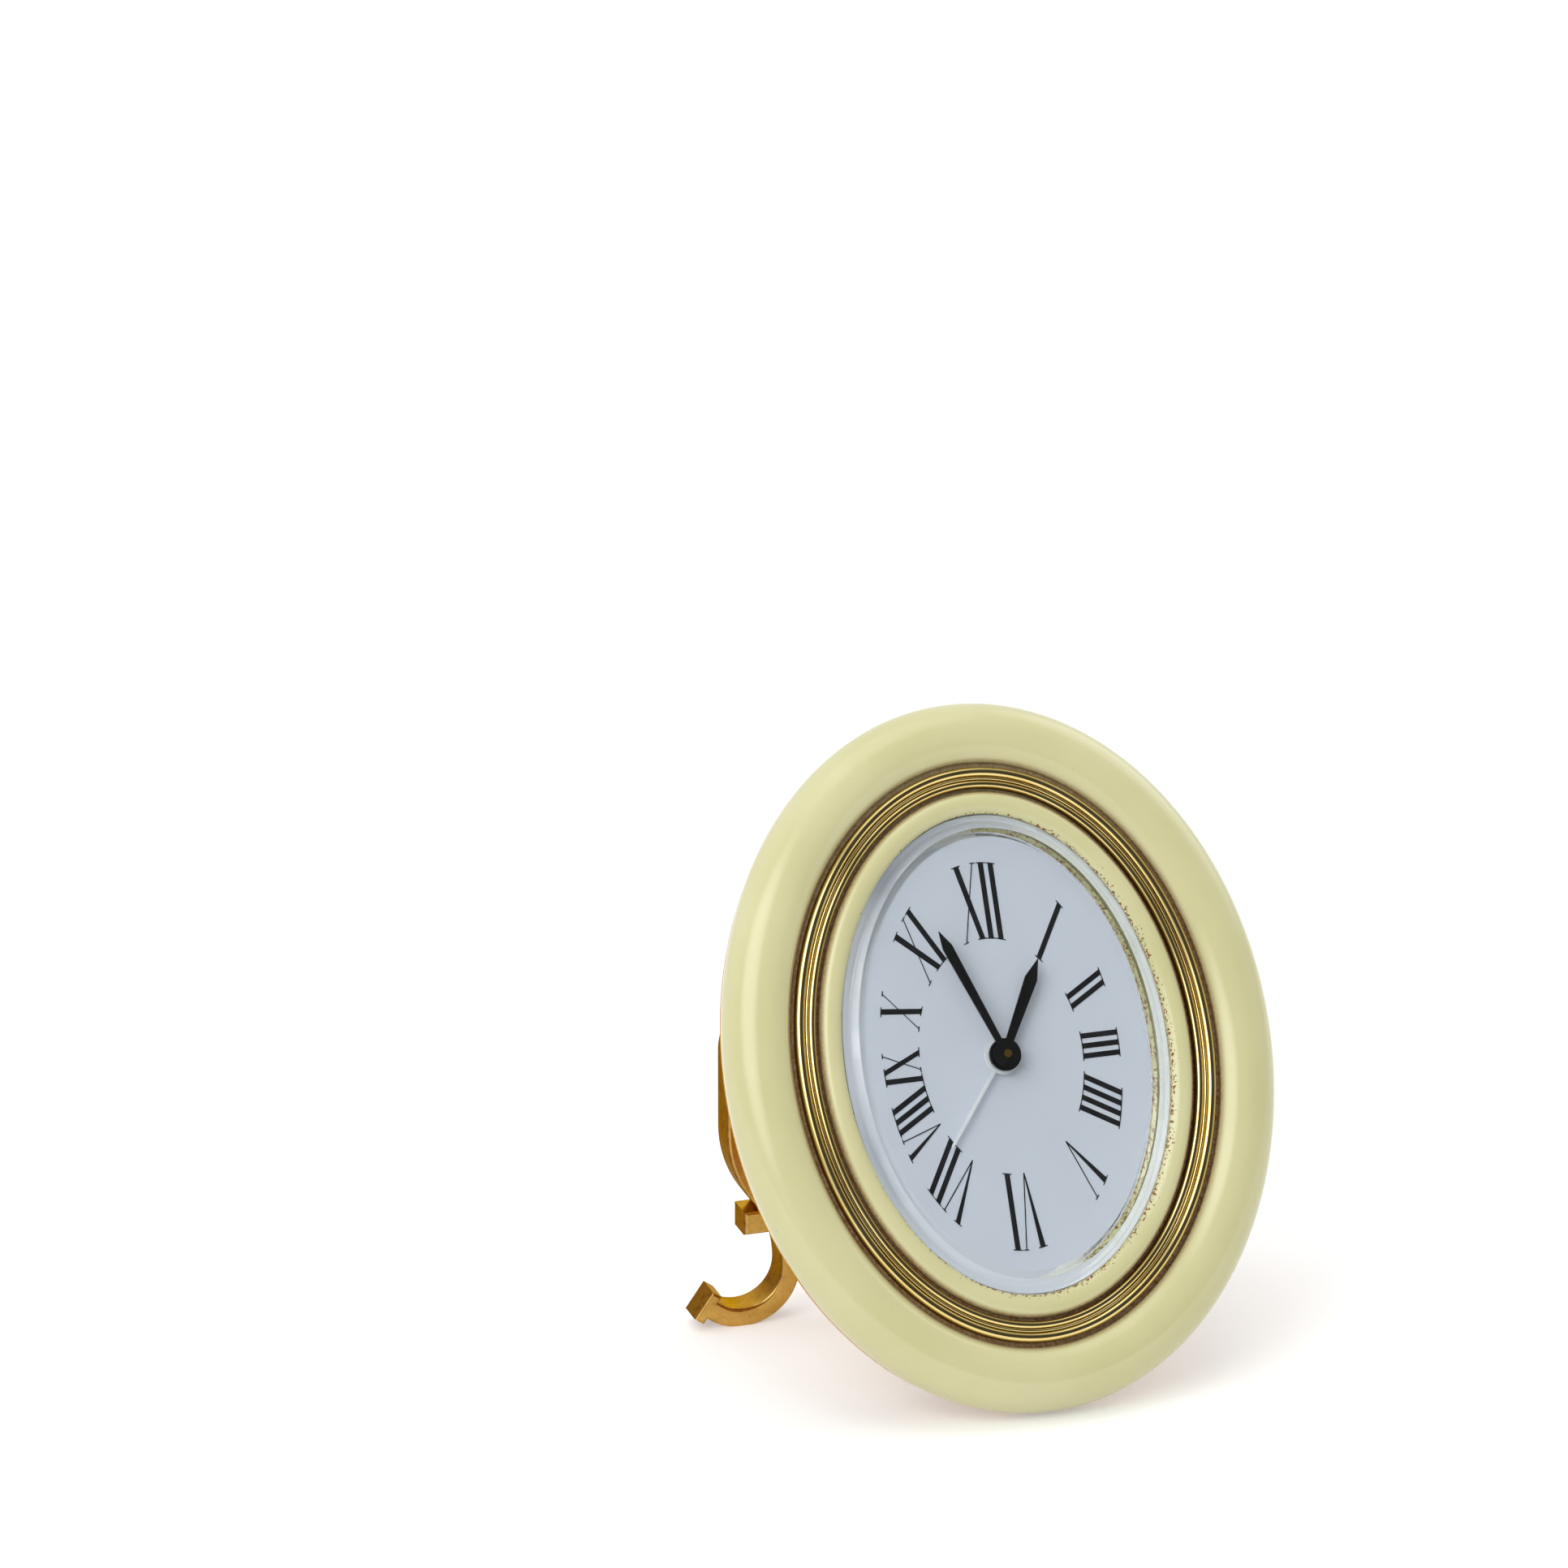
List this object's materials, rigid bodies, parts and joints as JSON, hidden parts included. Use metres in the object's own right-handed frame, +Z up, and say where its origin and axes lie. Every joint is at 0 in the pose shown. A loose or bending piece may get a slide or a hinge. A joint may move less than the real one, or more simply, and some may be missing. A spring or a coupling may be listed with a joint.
{
  "type": "travel alarm clock",
  "caption": "Oval travel alarm clock with an enamelled case, Roman dial, hands, setting knobs and a folding lyre-shaped strut behind.",
  "frame": {"origin": "bottom centre of the bounding box, on the surface the clock stands on", "axes": "+Z up, the dial faces -Y and leans back, +X to the right of the dial"},
  "size_m": [0.0678, 0.0488, 0.0764],
  "materials": {
    "cream_enamel": "glossy",
    "polished_brass": "polished",
    "gilt_metal": "polished",
    "clear_crystal": "polished",
    "white_plastic": "satin",
    "dial_white": "satin",
    "black_print": "satin",
    "black_hand": "satin",
    "white_hand": "satin",
    "gear_plastic": "satin",
    "brass_part": "satin",
    "black_plastic": "satin",
    "gloss_black": "glossy",
    "steel": "brushed",
    "soft_iron": "satin",
    "copper_winding": "satin",
    "green_board": "satin",
    "cell_steel": "polished",
    "black_rubber": "matte",
    "spring_bronze": "satin"
  },
  "bodies": {
    "case": {"case_ring": "cream_enamel", "crystal_bezel": "cream_enamel", "trim_ring": "polished_brass", "crystal": "clear_crystal", "crystal_spacer": "white_plastic", "dial": "dial_white", "dial_numerals": "black_print", "stator": "soft_iron", "coil": "copper_winding", "movement_ring": "white_plastic", "main_plate": "black_plastic", "movement_screws": "steel", "rear_plate": "black_plastic", "plate_screws": "steel", "circuit_board": "green_board", "timing_chip": "gloss_black", "quartz_can": "cell_steel", "switch_leaf": "spring_bronze", "battery_cell": "cell_steel", "centre_contact": "spring_bronze", "side_contact": "spring_bronze", "alarm_contact": "spring_bronze", "case_body": "gilt_metal", "case_screws": "brass_part", "back_cover": "gilt_metal", "cover_screws": "brass_part", "sounder_disc": "brass_part", "hinge_bracket": "gilt_metal", "bracket_screws": "brass_part", "hinge_pin": "steel", "hinge_washers": "black_rubber"},
    "strut": {"strut": "gilt_metal"},
    "minute": {"minute_hand": "black_hand", "centre_arbor": "brass_part", "centre_wheel": "gear_plastic"},
    "hour": {"hour_hand": "black_hand", "hour_wheel": "gear_plastic"},
    "motion": {"minute_wheel": "gear_plastic"},
    "time_setting": {"time_stem": "steel", "time_knob": "gilt_metal"},
    "alarm": {"alarm_hand": "white_hand", "alarm_wheel": "gear_plastic"},
    "idler": {"alarm_idler": "gear_plastic"},
    "alarm_setting": {"alarm_stem": "steel", "alarm_knob": "gilt_metal"},
    "third": {"third_wheel": "gear_plastic"},
    "motor": {"rotor": "gear_plastic"},
    "button": {"alarm_button": "gilt_metal"},
    "hatch": {"battery_hatch": "gilt_metal", "hatch_seal": "black_rubber"}
  },
  "joints": [
    {"name": "strut_fold", "type": "hinge", "parent": "case", "child": "strut", "pos_m": [0, 0.0174, 0.04452], "axis": [1, 0, 0], "range_deg": [-28, 0]},
    {"name": "minute_turn", "type": "hinge", "parent": "case", "child": "minute", "pos_m": [0, -0.00261, 0.03863], "axis": [0, 0.8829, -0.4695], "continuous": true},
    {"name": "hour_turn", "type": "hinge", "parent": "case", "child": "hour", "pos_m": [0, -0.00173, 0.03816], "axis": [0, 0.8829, -0.4695], "continuous": true},
    {"name": "motion_turn", "type": "hinge", "parent": "case", "child": "motion", "pos_m": [-0.00571, -0.00084, 0.03558], "axis": [0, 0.8829, -0.4695], "continuous": true},
    {"name": "time_knob_turn", "type": "hinge", "parent": "case", "child": "time_setting", "pos_m": [-0.01141, 0.00271, 0.0316], "axis": [0, 0.8829, -0.4695], "continuous": true},
    {"name": "alarm_turn", "type": "hinge", "parent": "case", "child": "alarm", "pos_m": [0, -0.00173, 0.03816], "axis": [0, 0.8829, -0.4695], "continuous": true},
    {"name": "idler_turn", "type": "hinge", "parent": "case", "child": "idler", "pos_m": [0.00713, -0.00194, 0.03564], "axis": [0, 0.8829, -0.4695], "continuous": true},
    {"name": "alarm_knob_turn", "type": "hinge", "parent": "case", "child": "alarm_setting", "pos_m": [0.01141, 0.00271, 0.0316], "axis": [0, 0.8829, -0.4695], "continuous": true},
    {"name": "third_turn", "type": "hinge", "parent": "case", "child": "third", "pos_m": [0.0035, 0.00553, 0.04116], "axis": [0, 0.8829, -0.4695], "continuous": true},
    {"name": "rotor_turn", "type": "hinge", "parent": "case", "child": "motor", "pos_m": [0.00857, 0.00728, 0.04232], "axis": [0, 0.8829, -0.4695], "continuous": true},
    {"name": "button_press", "type": "slide", "parent": "case", "child": "button", "axis": [0, -0.8829, 0.4695], "range_m": [0, 0.0012], "stiffness_N_per_m": 400},
    {"name": "hatch_turn", "type": "hinge", "parent": "case", "child": "hatch", "pos_m": [0, -0.00182, 0.01669], "axis": [0, 0.8829, -0.4695], "range_deg": [0, 90]}
  ],
  "couplings": [
    {"joint": "hour_turn", "follows": "minute_turn", "ratio": 0.083333},
    {"joint": "motion_turn", "follows": "minute_turn", "ratio": -0.33333},
    {"joint": "time_knob_turn", "follows": "minute_turn", "ratio": 1},
    {"joint": "third_turn", "follows": "minute_turn", "ratio": -6},
    {"joint": "rotor_turn", "follows": "minute_turn", "ratio": 30},
    {"joint": "idler_turn", "follows": "alarm_turn", "ratio": -1.5},
    {"joint": "alarm_knob_turn", "follows": "alarm_turn", "ratio": 3}
  ]
}
